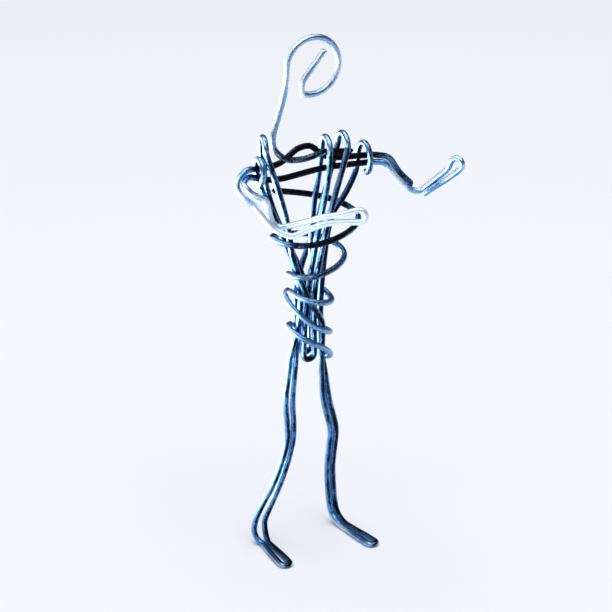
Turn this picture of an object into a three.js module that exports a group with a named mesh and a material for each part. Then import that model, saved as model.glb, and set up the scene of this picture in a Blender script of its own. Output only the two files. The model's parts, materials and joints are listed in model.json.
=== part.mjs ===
// A standing figure about 111 mm tall, bent by hand from five lengths of soft steel wire.
// One length makes the legs, the upright strands of the torso and a binding ring on each shoulder.
// One makes the two doubled arms and the two strands of the shoulder line, one the head and neck,
// and two are windings, round the chest and round the hips.
// Millimetres, +Z up. The figure faces -Y, its own left is +X, and it stands on z = 0.
// At each bend where it is posed the wire is parted, with a small gap between two rounded ends.
import * as THREE from 'three';

// Wire
const WIRE_DIAMETER = 1.2;
const WIRE_SIDES = 8;
const TOUCH_GAP = 0.24; // between lengths that lie against each other
const BEND_GAP = 0.3; // between the rounded ends at a bend
const PAIR_GAP = 0.16; // between the strands of a doubled limb
const SOLE_FLAT = 0.12; // depth by which the soles are pressed flat

// Heights and spans of the body
const HIP_HEIGHT = 43;
const LEFT_HIP_DROP = 3;
const KNEE_HEIGHT = 24;
const ANKLE_HEIGHT = 1.9;
const HIP_TO_WAIST = 14.5;
const HIP_TO_SHOULDERS = 41;
const SHOULDER_HALF_SPAN = 15;
const RIGHT_SHOULDER_RISE = 1.1; // above the shoulder line
const LEFT_SHOULDER_DROP = 0.6;
const NECK_BEND_RISE = 7.2; // above the shoulder line
const NECK_OFFSET = -8.4; // of the neck's bend from the middle of the hips
const NECK_BOW = 0.9;
const HEAD_RISE = 20.7; // the middle of the head above the shoulder line
const HEAD_OFFSET = 0.7;
const HEAD_WIDTH = 11.8;
const HEAD_HEIGHT = 11.6;
const HEAD_FROM = -112; // degrees, where the round of the head starts and ends
const HEAD_TO = 182;
const FOOT_LENGTH = 10;
const INSTEP_SHARE = 0.12; // of the foot, from the heel to where its strands start to part
const BALL_SHARE = 0.6;
const TOE_RADIUS = 1;
const HAND_RADIUS = 1.25;
const STRANDS_EASED = 0.15; // added to half the pitch of a limb's strands where they stand off a little
const STRANDS_SPREAD = 0.5;

// Torso strands
const STRAND_SLACK = 0.26; // between the strands of a row at the waist, beyond touching
const ROW_SLACK = 0.1; // between the front row and the back row
const LOOP_HALF_DEPTH = 2.3; // of the loops that hang over the shoulder line
const CROTCH_HALF_WIDTH = 1.25;
const CROTCH_RISE = 0.9; // the middle of the turn above the right hip
const CROTCH_OFFSET = -0.6;
const RING_HALF_DEPTH = 2;
const RING_FORWARD = 0.4;
const RING_LEAN = 0.9;
const RING_LEAN_FROM = 0.3; // the share of the ring's length at which it isn't out of line
const RING_FROM = -10; // degrees, from behind the pair
// Each ring's distance in from its shoulder bend, half height, rise above the bend, and end in degrees.
const RIGHT_RING = { inset: 3.4, halfHeight: 2.5, rise: 0, to: 245 };
const LEFT_RING = { inset: 2.6, halfHeight: 3.1, rise: 0.5, to: 280 };

// Windings, in a row for each quarter turn: how far out the wire is there, and how high.
// Heights are shares of the way from the waist up to the shoulder line, and from the hips up to the waist.
// The chest winding starts at the figure's right and the hip winding at its left. Both go round by the back.
const CHEST_WRAP = [
  [9.8, 0.87],
  [3.8, 0.74],
  [10.8, 0.54],
  [4.2, 0.43],
  [8.8, 0.48],
  [3.6, 0.41],
  [7.6, 0.26],
  [4.2, 0.18],
  [4.9, 0.17],
  [3.2, 0.06],
  [4.1, -0.07],
  [4.4, -0.05],
  [4.9, 0.02],
  [3.2, 0],
];
const CHEST_WRAP_FROM = 0.4; // quarter turns
const CHEST_WRAP_TO = 12.1;
const CHEST_WRAP_OFFSET = 0.4;
const HIP_WRAP = [
  [4.9, 1.08],
  [2.9, 1.02],
  [4.8, 0.92],
  [4.4, 0.53],
  [4.4, 0.33],
  [3, 0.42],
  [4.3, 0.49],
  [3.8, 0.26],
  [4.8, -0.08],
  [2.9, -0.16],
];
const HIP_WRAP_FROM = 1.4;
const HIP_WRAP_TO = 8.4;
const HIP_WRAP_OFFSET = -0.4;

// Fineness of the routes and of the tubes
const TRACE_STEP = 0.6;
const ARC_STEPS = 24; // for a full turn
const RING_TURN = THREE.MathUtils.degToRad(16);
const RING_REACH = 4;
const STEEP = 0.9; // the rise of a length beyond which it counts as upright
const OWN_STRETCH = 2.6; // diameters along a wire within which its own points aren't neighbours
const GAP_REACH = 4; // wire pitches within which gaps are measured
const BALL_RINGS = [60, 30].map(THREE.MathUtils.degToRad);
const SETTLE_PASSES = 400;
const SETTLE_EASE = 0.35;
const SETTLE_HOME = 0.998;
const SETTLE_LAST = 60; // closing passes that only part the wires

const wireRadius = WIRE_DIAMETER / 2;
const touchPitch = WIRE_DIAMETER + TOUCH_GAP;
const pairHalf = (WIRE_DIAMETER + PAIR_GAP) / 2;
const bendDrop = wireRadius + BEND_GAP / 2; // from a bend to the middle of a rounded end
const strandPitch = touchPitch + STRAND_SLACK;
const rowDepth = (touchPitch + ROW_SLACK) / 2;
const waistHeight = HIP_HEIGHT + HIP_TO_WAIST;
const shoulderHeight = HIP_HEIGHT + HIP_TO_SHOULDERS;
const soleHeight = wireRadius - SOLE_FLAT;
const ownStretch = OWN_STRETCH * WIRE_DIAMETER;
const easedHalf = pairHalf + STRANDS_EASED;
const spreadHalf = pairHalf + STRANDS_SPREAD;

const point = (x, y, z) => new THREE.Vector3(x, y, z);
const bead = (at, held = false, bend = '') => ({ at, held, bend });
const route = (base, rows) => rows.map(([x, y, z]) => bead(point(x, y, base + z)));

// The bends at which the figure is posed, filled in as the limbs are traced.
const bends = {};

// Points on an arc in a plane given by two directions, both ends included.
function arc(centre, across, up, from, to) {
  const steps = Math.max(2, Math.ceil((Math.abs(to - from) / 360) * ARC_STEPS));
  return Array.from({ length: steps + 1 }, (_, i) => {
    const angle = THREE.MathUtils.degToRad(from + ((to - from) * i) / steps);
    const at = centre.clone().addScaledVector(across, Math.cos(angle)).addScaledVector(up, Math.sin(angle));
    return bead(at);
  });
}

// The two strands of a limb of doubled wire, one down to its tip and one back up, and the turn at the tip.
// Each row of the limb's middle line says where it is, which way the first strand lies from it,
// half the distance between the strands, and the name of the bend there, if any.
function doubledStrands(rows) {
  const curve = new THREE.CatmullRomCurve3(rows.map((row) => row.at), false, 'centripetal');
  const spans = rows.length - 1;
  const first = [];
  const second = [];
  const add = (span, share) => {
    const next = rows[Math.min(span + 1, spans)];
    const along = (span + share) / spans;
    const middle = curve.getPoint(along);
    const ahead = curve.getTangent(along);
    const side = rows[span].side.clone().lerp(next.side, share);
    side.addScaledVector(ahead, -side.dot(ahead)).normalize();
    const half = THREE.MathUtils.lerp(rows[span].half, next.half, share);
    const bend = share === 0 ? rows[span].bend : '';
    if (bend) {
      bends[bend] = { at: middle, axis: side.clone() };
    }
    first.push(bead(middle.clone().addScaledVector(side, half), true, bend));
    second.unshift(bead(middle.clone().addScaledVector(side, -half), true, bend));
    return { middle, side: side.multiplyScalar(half), ahead: ahead.multiplyScalar(half) };
  };
  for (let span = 0; span < spans; span += 1) {
    const steps = Math.max(1, Math.round(rows[span].at.distanceTo(rows[span + 1].at) / TRACE_STEP));
    for (let step = 0; step < steps; step += 1) {
      add(span, step / steps);
    }
  }
  const end = add(spans, 0);
  const tip = arc(end.middle, end.side, end.ahead, 0, 180).slice(1, -1);
  tip.forEach((b) => {
    b.held = true;
  });
  return { first, tip, second };
}

const outward = point(-1, 0, 0);
const wholeLimb = ({ first, tip, second }) => [...first, ...tip, ...second];

// A leg from its hip to its toe. The rows of the thigh and the shin give their heights as shares of the way
// from the bend above them down to the one below. The strands lie side by side, or turned a little at hip
// and ankle.
function leg(name, { hip, hipSide, thigh, knee, shin, ankle, ankleSide, ankleHalf, heel, toeX }) {
  const between = (from, to, rows) => rows.map(([x, y, share, half]) => ({
    at: point(x, y, THREE.MathUtils.lerp(from.z, to.z, share)),
    half,
  }));
  const toe = point(toeX, heel.y - FOOT_LENGTH, soleHeight);
  const rows = [
    { at: hip, half: pairHalf, bend: `${name}_hip`, side: hipSide },
    ...between(hip, knee, thigh),
    { at: knee, half: pairHalf, bend: `${name}_knee` },
    ...between(knee, ankle, shin),
    { at: ankle, half: ankleHalf, bend: `${name}_ankle`, side: ankleSide },
    { at: heel, half: pairHalf },
    { at: heel.clone().lerp(toe, INSTEP_SHARE), half: pairHalf },
    { at: heel.clone().lerp(toe, BALL_SHARE), half: TOE_RADIUS },
    { at: toe, half: TOE_RADIUS },
  ];
  return wholeLimb(doubledStrands(rows.map((row) => ({ bend: '', side: outward, ...row }))));
}

// The strands of an arm, or of a stretch of one, in rows measured from the shoulder.
function arm(name, shoulder, rows) {
  const placed = rows.map(([x, y, z, side, half, bend]) => ({
    at: shoulder.clone().add(point(x, y, z)),
    side: point(...side).normalize(),
    half,
    bend: bend ? `${name}_${bend}` : '',
  }));
  return doubledStrands(placed);
}

const rightLeg = leg('right', {
  hip: point(-3.9, 0, HIP_HEIGHT),
  hipSide: outward,
  thigh: [[-4.3, 0.9, 0.48, easedHalf]],
  knee: point(-3.5, 2, KNEE_HEIGHT),
  shin: [
    [-5.3, 3.5, 0.41, easedHalf],
    [-7.9, 5.1, 0.74, spreadHalf],
    [-8.7, 5.9, 0.89, spreadHalf],
  ],
  ankle: point(-8.8, 5.5, ANKLE_HEIGHT),
  ankleSide: point(-0.95, 0.3, 0),
  ankleHalf: spreadHalf,
  heel: point(-8.6, 3.7, soleHeight),
  toeX: -9.5,
});
const leftLeg = leg('left', {
  hip: point(3.2, 0.2, HIP_HEIGHT - LEFT_HIP_DROP),
  hipSide: point(-0.8, -0.6, 0),
  thigh: [[4.7, 1, 0.54, pairHalf]],
  knee: point(6.9, 2, KNEE_HEIGHT),
  shin: [
    [7.1, 3.6, 0.39, pairHalf],
    [8.4, 5.4, 0.72, pairHalf],
    [9.3, 6.3, 0.89, pairHalf],
  ],
  ankle: point(9.7, 5.9, ANKLE_HEIGHT),
  ankleSide: outward,
  ankleHalf: pairHalf,
  heel: point(10, 2.7, soleHeight),
  toeX: 10.9,
});

const rightShoulder = point(-SHOULDER_HALF_SPAN, -1, shoulderHeight + RIGHT_SHOULDER_RISE);
const leftShoulder = point(SHOULDER_HALF_SPAN, -0.8, shoulderHeight - LEFT_SHOULDER_DROP);
const rightArm = wholeLimb(arm('right', rightShoulder, [
  [0, 0, 0, [-0.3, 0, 0.95], pairHalf, 'shoulder'],
  [-2.1, -1.4, -1.3, [-0.9, 0.2, 0.3], pairHalf],
  [-0.9, -2.5, -3.5, [-0.8, 0.4, -0.4], easedHalf],
  [1.5, -2.9, -5.4, [-0.8, 0.4, -0.3], spreadHalf],
  [2.7, -3.5, -8, [-0.75, -0.3, -0.4], easedHalf],
  [4.2, -4.3, -10.5, [-0.5, -0.87, -0.05], pairHalf, 'elbow'],
  [6.9, -5.9, -11, [-0.35, -0.5, -0.8], spreadHalf],
  [9.2, -7.2, -10.2, [-0.2, -0.4, -0.9], easedHalf],
  [12, -8.9, -9, [0, -0.3, -0.95], pairHalf],
  [16.1, -11.2, -8.4, [0, 0, -1], easedHalf],
  [18.4, -12.5, -8, [0, 0, -1], HAND_RADIUS],
]));
const leftUpperArm = arm('left', leftShoulder, [
  [0, 0, 0, [-0.35, 0, -0.94], pairHalf, 'shoulder'],
  [2.2, -0.6, -0.6, [-0.6, 0, -0.8], pairHalf],
  [5.3, -1.4, -4.9, [-0.65, -0.4, -0.65], pairHalf],
  [8.3, -2.2, -7.5, [-0.52, -0.77, -0.36], pairHalf, 'elbow'],
]);
// Its first strand goes on from the elbow. The second comes back from the hand and ends in front of it.
const leftForearm = arm('left', leftShoulder, [
  [8.9, -3.9, -7.5, [0.1, 0.95, 0.2], pairHalf],
  [10.1, -5.3, -5.9, [0, 0.95, 0.3], pairHalf],
  [11.5, -6.4, -4.5, [-0.4, 0.75, 0.5], pairHalf],
  [12.8, -8, -2.6, [-0.35, 0.54, 0.77], easedHalf],
  [13.5, -9.1, -0.9, [-0.35, 0.54, 0.77], HAND_RADIUS],
]);

// Places at the waist, counted from the figure's right, in the front row or the back row.
function waistPlace(count, row) {
  return bead(point((count - 2.5) * strandPitch, row * rowDepth, waistHeight));
}

const front = -1;
const back = 1;

// A loop over the shoulder line, from the back strand to the front one.
function loopOver(backX, frontX, rise) {
  const centre = point((backX + frontX) / 2, 0, shoulderHeight + rise - LOOP_HALF_DEPTH);
  const across = point((backX - frontX) / 2, LOOP_HALF_DEPTH, 0);
  return arc(centre, across, point(0, 0, LOOP_HALF_DEPTH), 0, 180);
}

// A turn between two strands at the crotch, from the figure's left to its right.
function crotchTurn(row, rise) {
  const centre = point(CROTCH_OFFSET, row * rowDepth, HIP_HEIGHT + CROTCH_RISE + rise);
  return arc(centre, point(CROTCH_HALF_WIDTH, 0, 0), point(0, 0, CROTCH_HALF_WIDTH), 360, 180);
}

// A binding ring round the shoulder pair, from the strand behind it over the top to its end underneath.
function shoulderRing(shoulder, { inset, halfHeight, rise, to }) {
  const side = Math.sign(shoulder.x);
  const centre = point(shoulder.x - side * inset, -RING_FORWARD, shoulder.z + rise);
  const ring = arc(centre, point(0, RING_HALF_DEPTH, 0), point(0, 0, halfHeight), RING_FROM, to);
  ring.forEach((b, i) => {
    b.at.x += side * RING_LEAN * (i / (ring.length - 1) - RING_LEAN_FROM);
  });
  return ring;
}

const rightSide = [
  ...shoulderRing(rightShoulder, RIGHT_RING).reverse(),
  ...route(shoulderHeight, [
    [1.2 + RIGHT_RING.inset - SHOULDER_HALF_SPAN, 0.5, -4],
    [-7.6, 0, -10.5],
  ]),
  waistPlace(1, front),
];
const leftSide = [
  waistPlace(4.5, back),
  ...route(shoulderHeight, [
    [5.9, 1, -11.6],
    [8.9, 1.3, -8],
    [SHOULDER_HALF_SPAN - LEFT_RING.inset - 0.6, 1.8, -3.6],
  ]),
  ...shoulderRing(leftShoulder, LEFT_RING),
];
// The outer two of the three loops change sides, one behind the rest above the waist and one in front of it.
const uprights = [
  waistPlace(1, back),
  ...route(shoulderHeight, [
    [0.6, 3.2, -20],
    [3.6, 2.1, -10.5],
    [5.6, 2.3, -4.5],
  ]),
  ...loopOver(8, 7.5, 5.7),
  ...route(shoulderHeight, [
    [4.9, -2.4, -5],
    [3.3, -2.1, -11],
  ]),
  waistPlace(3, front),
  ...crotchTurn(front, 0),
  waistPlace(2, front),
  ...route(shoulderHeight, [
    [1.6, -2.1, -9.6],
    [2.7, -2.4, -3.6],
  ]),
  ...loopOver(4.2, 3.4, 5.5).reverse(),
  ...route(shoulderHeight, [
    [3.4, 2.4, -3.6],
    [2, 2.1, -11],
  ]),
  waistPlace(3, back),
  ...crotchTurn(back, 1),
  waistPlace(2, back),
  ...route(shoulderHeight, [
    [-6.2, 2.1, -11],
    [-8.4, 2.3, -3],
  ]),
  ...loopOver(-9.8, -11.2, 7.7),
  ...route(shoulderHeight, [
    [-8.6, -2.4, -2.5],
    [-6.4, -2.2, -10.5],
  ]),
  ...route(waistHeight, [
    [-4.7, -1.5, 7],
    [-3.4, -1.5, 3],
    [-1.8, -2.3, -0.8],
    [-0.3, -2.5, -3.2],
    [1.7, -2.2, -6.5],
  ]),
  ...route(HIP_HEIGHT, [[2.2, -1.4, 3]]),
];
const legsAndTorso = [...rightSide, ...rightLeg, ...uprights, ...leftLeg, ...leftSide];

// The shoulder line. The upper strand runs from the figure's left to its right, the lower one back.
const lineEnd = SHOULDER_HALF_SPAN - 3;
const upperLine = route(shoulderHeight, [
  [lineEnd, -0.5, 0.4],
  [8, 0.3, 0.5],
  [4.7, 0.8, 1],
  [2.4, 0.8, 2.6],
  [0.4, 0.8, 4],
  [-2.4, 0.8, 3.8],
  [-5.2, 0.8, 2],
  [-7.6, 0.6, 1.3],
  [1 - lineEnd, 0, 1.3],
]);
const lowerLine = route(shoulderHeight, [
  [0.4 - lineEnd, -0.8, -0.7],
  [-6.8, -0.6, -1.3],
  [-2.2, -0.5, -1],
  [3, -0.4, -0.7],
  [8, -0.5, -0.9],
  [lineEnd, -0.7, -1.1],
]);
// One end of the wire lies inside the left elbow, a little way off it.
const elbowEnd = leftUpperArm.second[0].at;
const clearOfElbow = (b) => b.at.distanceTo(elbowEnd) > bendDrop;
const arms = [
  ...leftUpperArm.second.filter(clearOfElbow),
  ...upperLine,
  ...rightArm,
  ...lowerLine,
  ...leftUpperArm.first,
  ...wholeLimb(leftForearm),
];

// The head: its tail, the round, the neck, and the root that lies along the shoulder line.
const headMiddle = point(HEAD_OFFSET, 0, shoulderHeight + HEAD_RISE);
const neckBend = point(NECK_OFFSET, 0, shoulderHeight + NECK_BEND_RISE);
bends.neck = { at: neckBend, axis: point(1, 0, 0) };
const headTail = [
  [0.47, 0.5],
  [0.2, 0.17],
  [-0.12, -0.15],
  [-0.4, -0.55],
].map(([across, up]) => {
  const offset = point((across * HEAD_WIDTH) / 2, 0, (up * HEAD_HEIGHT) / 2);
  return bead(headMiddle.clone().add(offset));
});
const [headAcross, headUp] = [point(HEAD_WIDTH / 2, 0, 0), point(0, 0, HEAD_HEIGHT / 2)];
const headRound = arc(headMiddle, headAcross, headUp, HEAD_FROM, HEAD_TO);
const neck = [0.3, 0.55, 0.8].map((share) => {
  const at = headRound.at(-1).at.clone().lerp(neckBend, share);
  at.x += NECK_BOW * (1 - share);
  return bead(at);
});
const head = [
  ...headTail,
  ...headRound,
  ...neck,
  bead(neckBend, true, 'neck'),
  ...route(shoulderHeight, [
    [NECK_OFFSET + 0.1, -0.2, NECK_BEND_RISE - 1.8],
    [-7.3, -0.6, 3.8],
    [-5.4, -0.9, 2.6],
    [-2.4, -0.8, 2.1],
    [0.6, -0.8, 2.3],
    [2.9, -0.7, 2.8],
    [5.6, -0.7, 2.4],
    [9.4, -0.7, 1.9],
  ]),
];

// A smooth function that takes given values at 0, 1, 2 and so on.
function through(values) {
  const curve = new THREE.CatmullRomCurve3(values.map((value, k) => point(k, value, 0)), false, 'catmullrom');
  return (at) => curve.getPoint(THREE.MathUtils.clamp(at / (values.length - 1), 0, 1)).y;
}

// A winding round the torso, from its rows. It starts at the figure's right or left, -1 or 1.
function winding(rows, { from, to, startSide, offset, low, high }) {
  const sideAt = through(rows.filter((_, k) => k % 2 === 0).map(([reach]) => reach));
  const depthAt = through(rows.filter((_, k) => k % 2 === 1).map(([reach]) => reach));
  const shareAt = through(rows.map(([, share]) => share));
  const steps = Math.ceil(((to - from) / 4) * ARC_STEPS);
  return Array.from({ length: steps + 1 }, (_, i) => {
    const quarter = from + ((to - from) * i) / steps;
    const angle = (quarter * Math.PI) / 2;
    return bead(point(
      offset + startSide * sideAt(quarter / 2) * Math.cos(angle),
      depthAt((quarter - 1) / 2) * Math.sin(angle),
      THREE.MathUtils.lerp(low, high, shareAt(quarter)),
    ));
  });
}

const chestWrap = winding(CHEST_WRAP, {
  from: CHEST_WRAP_FROM,
  to: CHEST_WRAP_TO,
  startSide: -1,
  offset: CHEST_WRAP_OFFSET,
  low: waistHeight,
  high: shoulderHeight,
});
const hipWrap = winding(HIP_WRAP, {
  from: HIP_WRAP_FROM,
  to: HIP_WRAP_TO,
  startSide: 1,
  offset: HIP_WRAP_OFFSET,
  low: HIP_HEIGHT,
  high: waistHeight,
});

// Follows a smooth curve through a wire's beads, in short steps. The limbs' beads are kept as they are.
function trace(beads) {
  const curve = new THREE.CatmullRomCurve3(beads.map((b) => b.at), false, 'centripetal');
  const spans = beads.length - 1;
  const traced = [];
  for (let span = 0; span < spans; span += 1) {
    const steps = Math.max(1, Math.round(beads[span].at.distanceTo(beads[span + 1].at) / TRACE_STEP));
    traced.push(beads[span]);
    for (let step = 1; step < steps; step += 1) {
      traced.push(bead(curve.getPoint((span + step / steps) / spans)));
    }
  }
  traced.push(beads[spans]);
  return traced;
}

// Every pair of beads nearer than a reach that aren't neighbours on one wire, by a grid of cells.
function nearPairs(wires, reach) {
  const cells = new Map();
  const key = (x, y, z) => `${x},${y},${z}`;
  const pairs = [];
  wires.forEach((beads, wire) => {
    let along = 0;
    beads.forEach((b, order) => {
      along += b.at.distanceTo(beads[Math.max(order - 1, 0)].at);
      const [x, y, z] = b.at.toArray().map((value) => Math.floor(value / reach));
      for (let i = 0; i < 27; i += 1) {
        const [across, deep, up] = [i % 3, Math.floor(i / 3) % 3, Math.floor(i / 9)];
        const near = cells.get(key(x - 1 + across, y - 1 + deep, z - 1 + up));
        for (const other of near ?? []) {
          const apart = other.wire !== wire || along - other.along > ownStretch;
          if (apart && other.b.at.distanceTo(b.at) < reach) {
            pairs.push([other.b, b]);
          }
        }
      }
      const own = key(x, y, z);
      cells.set(own, [...(cells.get(own) ?? []), { b, wire, along }]);
    });
  });
  return pairs;
}

// Moves two beads apart until they are a given distance from each other. A held bead stays.
function part(a, b, distance) {
  const away = b.at.clone().sub(a.at);
  const short = distance - away.length();
  if (short <= 0 || (a.held && b.held)) {
    return;
  }
  const share = a.held || b.held ? 1 : 0.5;
  away.setLength(short * share);
  if (!a.held) {
    a.at.sub(away);
  }
  if (!b.held) {
    b.at.add(away);
  }
}

// Lets the free lengths settle against each other: they are parted where they would cross, each push is
// spread along its wire, and the wires are drawn back towards their routes.
function settle(wires) {
  const homes = wires.map((beads) => beads.map((b) => b.at.clone()));
  for (let pass = 0; pass < SETTLE_PASSES; pass += 1) {
    const last = pass >= SETTLE_PASSES - SETTLE_LAST;
    nearPairs(wires, touchPitch).forEach(([a, b]) => part(a, b, touchPitch));
    if (last) {
      continue;
    }
    wires.forEach((beads, wire) => {
      const shifts = beads.map((b, i) => b.at.clone().sub(homes[wire][i]));
      beads.forEach((b, i) => {
        if (b.held) {
          return;
        }
        const before = shifts[Math.max(i - 1, 0)];
        const after = shifts[Math.min(i + 1, shifts.length - 1)];
        const even = before.clone().add(after).multiplyScalar(0.5);
        const shift = shifts[i].clone().lerp(even, SETTLE_EASE).multiplyScalar(SETTLE_HOME);
        b.at.copy(homes[wire][i]).add(shift);
      });
    });
  }
}

const wires = {
  legsAndTorso: trace(legsAndTorso),
  arms: trace(arms),
  head: trace(head),
  chestWrap: trace(chestWrap),
  hipWrap: trace(hipWrap),
};
settle(Object.values(wires));

function leastGap(lengths) {
  const distances = nearPairs(lengths, GAP_REACH * touchPitch).map(([a, b]) => a.at.distanceTo(b.at));
  return Math.min(...distances) - WIRE_DIAMETER;
}

console.log(`least gap between any two lengths ${leastGap(Object.values(wires)).toFixed(2)} mm`);
console.log(`least gap of the chest winding to itself ${leastGap([wires.chestWrap]).toFixed(2)} mm`);
console.log(`least gap of the hip winding to itself ${leastGap([wires.hipWrap]).toFixed(2)} mm`);

// Drops the start of a line of points, up to a distance from its first point along it.
function shortened(points, distance) {
  let left = distance;
  for (let i = 1; i < points.length; i += 1) {
    const step = points[i].distanceTo(points[i - 1]);
    if (step > left) {
      return [points[i - 1].clone().lerp(points[i], left / step), ...points.slice(i)];
    }
    left -= step;
  }
  return points.slice(-1);
}

// Parts a settled wire at its bends into named pieces. An end at a bend is round, and a free end is square.
function pieces(beads, names) {
  const cuts = beads.map((b, i) => (b.bend ? i : -1)).filter((i) => i >= 0);
  const inner = cuts.filter((i) => i > 0 && i < beads.length - 1);
  const stops = [0, ...inner, beads.length - 1];
  return names.map((name, k) => {
    let points = beads.slice(stops[k], stops[k + 1] + 1).map((b) => b.at.clone());
    const [startsAtBend, endsAtBend] = [beads[stops[k]].bend, beads[stops[k + 1]].bend];
    if (startsAtBend) {
      points = shortened(points, bendDrop);
    }
    if (endsAtBend) {
      points = shortened(points.reverse(), bendDrop).reverse();
    }
    return { name, points, roundStart: stops[k] > 0, roundEnd: stops[k + 1] < beads.length - 1 };
  });
}

// The places along a line of points that a tube needs: more of them where it turns.
function stations(points) {
  const ahead = points.map((p, i) => {
    const next = points[Math.min(i + 1, points.length - 1)];
    return next.clone().sub(points[Math.max(i - 1, 0)]).normalize();
  });
  const chosen = [0];
  for (let i = 1; i < points.length - 1; i += 1) {
    const last = chosen.at(-1);
    const turned = ahead[i + 1].angleTo(ahead[last]) > RING_TURN;
    if (turned || points[i + 1].distanceTo(points[last]) > RING_REACH) {
      chosen.push(i);
    }
  }
  chosen.push(points.length - 1);
  return chosen.map((i) => ({ at: points[i], ahead: ahead[i] }));
}

// A direction square to each station, carried both ways from the middle one, where it points up if it can.
function carryUp(line) {
  const middle = Math.floor(line.length / 2);
  const square = (up, ahead) => up.clone().addScaledVector(ahead, -up.dot(ahead)).normalize();
  const steep = Math.abs(line[middle].ahead.z) > STEEP;
  line[middle].up = square(steep ? point(1, 0, 0) : point(0, 0, 1), line[middle].ahead);
  for (let i = middle + 1; i < line.length; i += 1) {
    line[i].up = square(line[i - 1].up, line[i].ahead);
  }
  for (let i = middle - 1; i >= 0; i -= 1) {
    line[i].up = square(line[i + 1].up, line[i].ahead);
  }
}

// A closed tube along a line of points, with a rounded or a square end, and no lower than the floor.
function wireGeometry({ points, roundStart, roundEnd }) {
  const line = stations(points);
  carryUp(line);
  const rings = line.map(({ at, ahead, up }) => ({ at, ahead, up, radius: wireRadius }));
  const ball = ({ at, ahead, up }, sign) => BALL_RINGS.map((angle) => ({
    at: at.clone().addScaledVector(ahead, sign * wireRadius * Math.sin(angle)),
    ahead,
    up,
    radius: wireRadius * Math.cos(angle),
  }));
  const poles = [
    line[0].at.clone().addScaledVector(line[0].ahead, roundStart ? -wireRadius : 0),
    line.at(-1).at.clone().addScaledVector(line.at(-1).ahead, roundEnd ? wireRadius : 0),
  ];
  if (roundStart) {
    rings.unshift(...ball(line[0], -1));
  }
  if (roundEnd) {
    rings.push(...ball(line.at(-1), 1).reverse());
  }
  const corners = rings.flatMap(({ at, ahead, up, radius }) => {
    const across = ahead.clone().cross(up);
    return Array.from({ length: WIRE_SIDES }, (_, side) => {
      const angle = ((side + 0.5) / WIRE_SIDES) * 2 * Math.PI;
      const corner = at.clone();
      corner.addScaledVector(up, radius * Math.cos(angle));
      corner.addScaledVector(across, radius * Math.sin(angle));
      return corner.setZ(Math.max(corner.z, 0));
    });
  });
  const faces = [];
  const [startPole, endPole] = [corners.length, corners.length + 1];
  const lastRing = (rings.length - 1) * WIRE_SIDES;
  for (let side = 0; side < WIRE_SIDES; side += 1) {
    const next = (side + 1) % WIRE_SIDES;
    for (let ring = 0; ring < lastRing; ring += WIRE_SIDES) {
      faces.push(ring + side, ring + next, ring + WIRE_SIDES + next);
      faces.push(ring + side, ring + WIRE_SIDES + next, ring + WIRE_SIDES + side);
    }
    faces.push(startPole, next, side);
    faces.push(endPole, lastRing + side, lastRing + next);
  }
  const geometry = new THREE.BufferGeometry();
  const all = [...corners, ...poles];
  geometry.setAttribute('position', new THREE.Float32BufferAttribute(all.flatMap((c) => c.toArray()), 3));
  geometry.setIndex(faces);
  geometry.computeVertexNormals();
  return geometry;
}

// Finish of the wire, by what it makes.
const BRIGHT = { color: 0xb9c4d2, roughness: 0.32, metalness: 1 };
const STEEL = { color: 0x7f92ab, roughness: 0.38, metalness: 1 };
const DULL = { color: 0x4f5e74, roughness: 0.46, metalness: 1 };

const limbPieces = (name, upper, lower) => [`${name}_${upper}_outer_wire`, `${name}_${lower}_outer_wire`];
const parts = [
  {
    finish: STEEL,
    beads: wires.legsAndTorso,
    names: [
      'right_side_wire',
      ...limbPieces('right', 'thigh', 'shin'),
      'right_foot_wire',
      'right_shin_inner_wire',
      'right_thigh_inner_wire',
      'torso_wire',
      'left_thigh_inner_wire',
      'left_shin_inner_wire',
      'left_foot_wire',
      ...limbPieces('left', 'thigh', 'shin').reverse(),
      'left_side_wire',
    ],
  },
  {
    finish: STEEL,
    beads: wires.arms,
    names: [
      'left_upper_arm_outer_wire',
      'shoulder_upper_wire',
      'right_upper_arm_outer_wire',
      'right_forearm_wire',
      'right_upper_arm_inner_wire',
      'shoulder_lower_wire',
      'left_upper_arm_inner_wire',
      'left_forearm_wire',
    ],
  },
  { finish: BRIGHT, beads: wires.head, names: ['head_wire', 'neck_root_wire'] },
  { finish: DULL, beads: wires.chestWrap, names: ['chest_winding'] },
  { finish: DULL, beads: wires.hipWrap, names: ['hip_winding'] },
];

const figure = new THREE.Group();
for (const { finish, beads, names } of parts) {
  for (const piece of pieces(beads, names)) {
    const mesh = new THREE.Mesh(wireGeometry(piece), new THREE.MeshStandardMaterial(finish));
    mesh.name = piece.name;
    figure.add(mesh);
  }
}

// The origin is on the floor under the middle of the figure's box.
const box = new THREE.Box3().setFromObject(figure);
const middle = box.getCenter(new THREE.Vector3());
figure.position.set(-middle.x, -middle.y, 0);
for (const [name, { at, axis }] of Object.entries(bends)) {
  const place = at.clone().add(figure.position).toArray().map((value) => value.toFixed(2));
  console.log(`${name} bends at ${place} about ${axis.toArray().map((value) => value.toFixed(3))}`);
}

export default figure;
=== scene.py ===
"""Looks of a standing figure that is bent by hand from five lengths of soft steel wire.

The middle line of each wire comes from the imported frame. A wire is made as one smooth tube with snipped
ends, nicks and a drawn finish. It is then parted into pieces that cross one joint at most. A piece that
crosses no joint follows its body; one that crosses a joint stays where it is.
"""
import json
import logging
import math
import random
from collections.abc import Iterable, Mapping, Sequence
from dataclasses import dataclass, field
from enum import Enum
from typing import Any, ClassVar

import bmesh
import bpy
import numpy as np
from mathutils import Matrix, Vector, noise

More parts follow.
